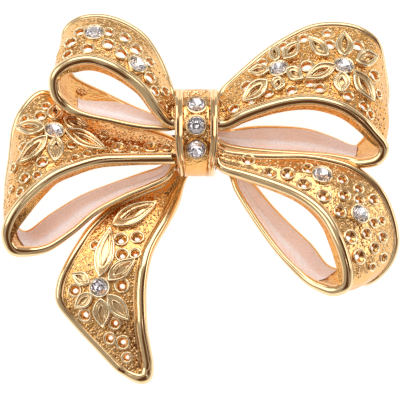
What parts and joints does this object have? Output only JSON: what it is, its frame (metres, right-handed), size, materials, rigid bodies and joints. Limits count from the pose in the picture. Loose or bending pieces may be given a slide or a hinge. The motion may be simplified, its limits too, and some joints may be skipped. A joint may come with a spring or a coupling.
{
  "type": "bow brooch",
  "caption": "Gilt bow brooch with looped pierced filigree ribbons, a tail, a barrel knot, pale pink enamel and round clear stones.",
  "frame": {"origin": "middle of the brooch's outline, on the surface that it lies on", "axes": "+X along the bow, from the left loops to the right loops seen from the front; +Y up the bow, from the tail to the upper loops; +Z out of the front face"},
  "size_m": [0.0556, 0.0526, 0.0127],
  "materials": {
    "gold": "polished gilt plating over a soft cast texture",
    "pink_enamel": "glossy, pearly pale pink",
    "crystal": "clear cut glass with a foiled back"
  },
  "bodies": {
    "root": {"loop_upper_left": "gold", "loop_upper_right": "gold", "loop_lower_left": "gold", "loop_lower_right": "gold", "tail": "gold", "knot": "gold", "enamel_upper_left": "pink_enamel", "enamel_upper_right": "pink_enamel", "enamel_lower_left": "pink_enamel", "enamel_lower_right": "pink_enamel", "stone_knot_top": "crystal", "stone_knot_middle": "crystal", "stone_knot_bottom": "crystal", "stone_upper_left_outer": "crystal", "stone_upper_left_inner": "crystal", "stone_upper_right_outer": "crystal", "stone_upper_right_inner": "crystal", "stone_lower_left": "crystal", "stone_lower_right_outer": "crystal", "stone_lower_right_inner": "crystal", "stone_tail": "crystal", "brooch_pin": "gold"}
  },
  "joints": []
}
